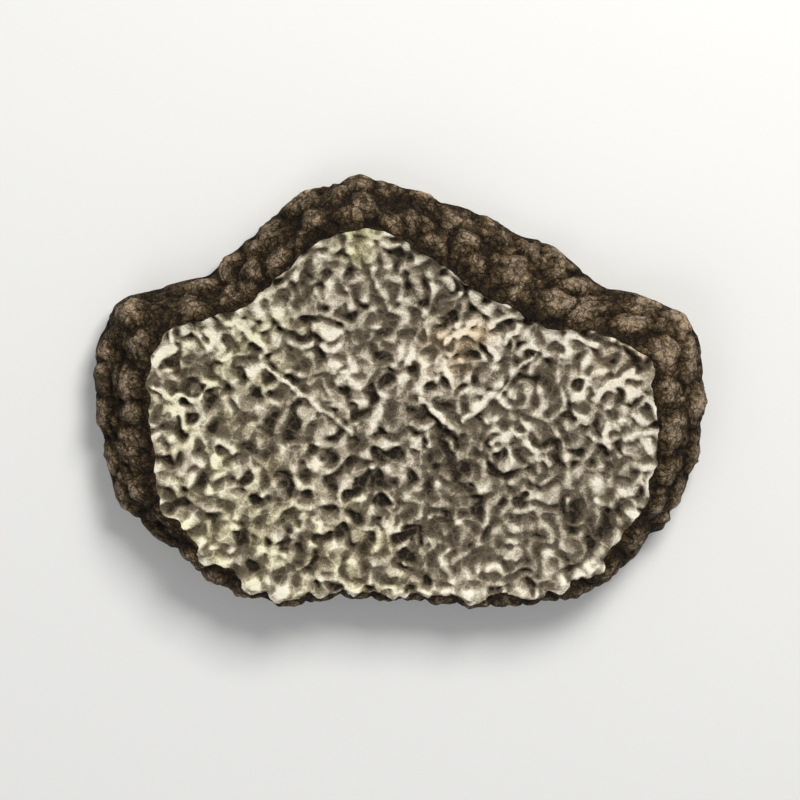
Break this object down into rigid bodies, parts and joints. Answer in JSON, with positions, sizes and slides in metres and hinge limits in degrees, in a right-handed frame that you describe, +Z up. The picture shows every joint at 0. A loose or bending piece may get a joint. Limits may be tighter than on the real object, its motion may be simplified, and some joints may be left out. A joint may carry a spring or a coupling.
{
  "type": "dried black truffle slice",
  "caption": "Dried slice of a black truffle: an oval, slightly cupped slab with marbled, pitted cut faces and a dark warty rind round its edge, lying on a small flat spot.",
  "frame": {"origin": "middle of the slice's bounding box, on the surface that it lies on", "axes": "+X along the slice's longest extent, +Y across it towards its pointed side, +Z up through its thickness, its shortest extent"},
  "size_m": [0.0422, 0.0302, 0.0058],
  "materials": {
    "truffle": "dry and matt, marbled pale and dark on the cut faces, dark brown and warty on the rind"
  },
  "bodies": {
    "root": {"truffle_slice": "truffle"}
  },
  "joints": []
}
